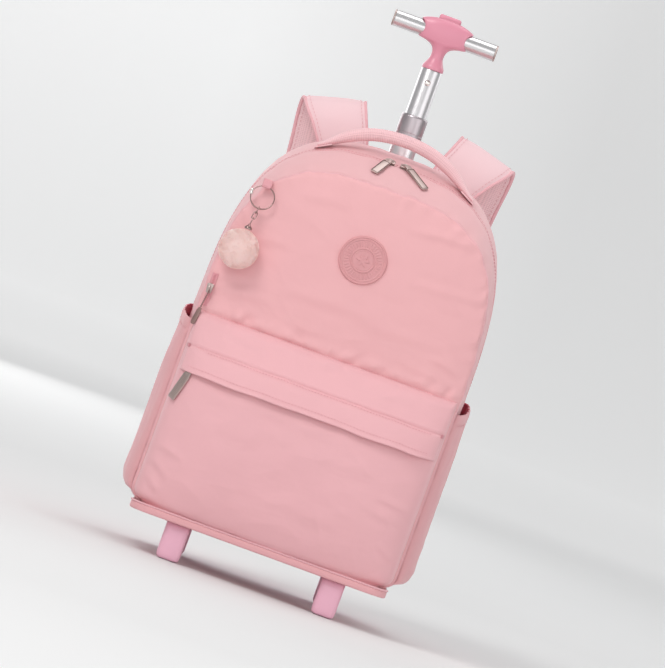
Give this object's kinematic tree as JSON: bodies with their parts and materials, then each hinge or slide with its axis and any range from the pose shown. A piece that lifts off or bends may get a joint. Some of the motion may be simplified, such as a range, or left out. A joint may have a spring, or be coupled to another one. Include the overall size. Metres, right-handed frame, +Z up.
{
  "type": "wheeled backpack",
  "caption": "Arched soft backpack with a flapped front pocket, side pockets and a fur pompom, on wheels and feet, with a telescoping mast and T-grip.",
  "frame": {"origin": "centre of the footprint of the overall box, on the floor", "axes": "+X from the bag's left to its right as seen from the front, +Y from the front pocket towards the back panel and the mast, +Z up along the mast"},
  "size_m": [0.3254, 0.271, 0.6386],
  "materials": {
    "shell_fabric": "dusty pink woven nylon, satin",
    "pocket_fabric": "dusty pink woven nylon, satin",
    "strap_fabric": "pale pink padded nylon",
    "zip_tape": "pink coil zip and tape",
    "webbing": "pink woven webbing",
    "fur": "long soft faux fur",
    "badge_rubber": "matt moulded rubber, tone on tone",
    "tyre_pink": "satin pink rubber",
    "pink_plastic": "satin pink moulding",
    "aluminium": "drawn silver tube",
    "pull_metal": "warm silver, satin",
    "ring_steel": "polished steel wire"
  },
  "bodies": {
    "bag": {"front_panel": "shell_fabric", "gusset_front": "shell_fabric", "gusset_rear": "shell_fabric", "main_zip": "zip_tape", "back_panel": "shell_fabric", "base_board": "shell_fabric", "front_pocket": "pocket_fabric", "pocket_flap": "pocket_fabric", "pocket_zip": "zip_tape", "side_pocket_left": "pocket_fabric", "side_pocket_right": "pocket_fabric", "grab_handle": "webbing", "strap_left": "strap_fabric", "strap_webbing_left": "webbing", "ladder_lock_left": "pink_plastic", "strap_right": "strap_fabric", "strap_webbing_right": "webbing", "ladder_lock_right": "pink_plastic", "back_pad_left": "strap_fabric", "back_pad_right": "strap_fabric", "mast_cover": "shell_fabric", "badge": "badge_rubber", "main_slider_left": "pull_metal", "main_pull_left": "pull_metal", "main_slider_right": "pull_metal", "main_pull_right": "pull_metal", "pocket_slider": "pull_metal", "pocket_pull": "pull_metal", "side_zip": "zip_tape", "side_slider": "pull_metal", "side_pull": "pull_metal", "key_ring": "ring_steel", "key_loop": "webbing", "chain_link_1": "ring_steel", "chain_link_2": "ring_steel", "chain_link_3": "ring_steel", "pompom_cap": "ring_steel", "pompom": "fur", "chassis": "pink_plastic", "axle": "aluminium", "foot_left": "tyre_pink", "foot_right": "tyre_pink", "mast_outer": "aluminium", "mast_collar": "aluminium"},
    "handle": {"mast_inner": "aluminium", "mast_detent": "aluminium", "grip_core": "pink_plastic", "grip_bar": "aluminium", "grip_cap_left": "pull_metal", "grip_cap_right": "pull_metal"},
    "button": {"grip_button": "pink_plastic"},
    "wheel_left": {"tyre_left": "tyre_pink", "hub_left": "pink_plastic"},
    "wheel_right": {"tyre_right": "tyre_pink", "hub_right": "pink_plastic"}
  },
  "joints": [
    {"name": "handle_slide", "type": "slide", "parent": "bag", "child": "handle", "axis": [0, 0, 1], "range_m": [-0.05, 0.3]},
    {"name": "button_press", "type": "slide", "parent": "handle", "child": "button", "axis": [0, 0, -1], "range_m": [0, 0.002], "stiffness_N_per_m": 300},
    {"name": "wheel_left_spin", "type": "hinge", "parent": "bag", "child": "wheel_left", "pos_m": [-0.086, 0.06758, 0.038], "axis": [1, 0, 0], "continuous": true},
    {"name": "wheel_right_spin", "type": "hinge", "parent": "bag", "child": "wheel_right", "pos_m": [0.086, 0.06758, 0.038], "axis": [1, 0, 0], "continuous": true}
  ]
}
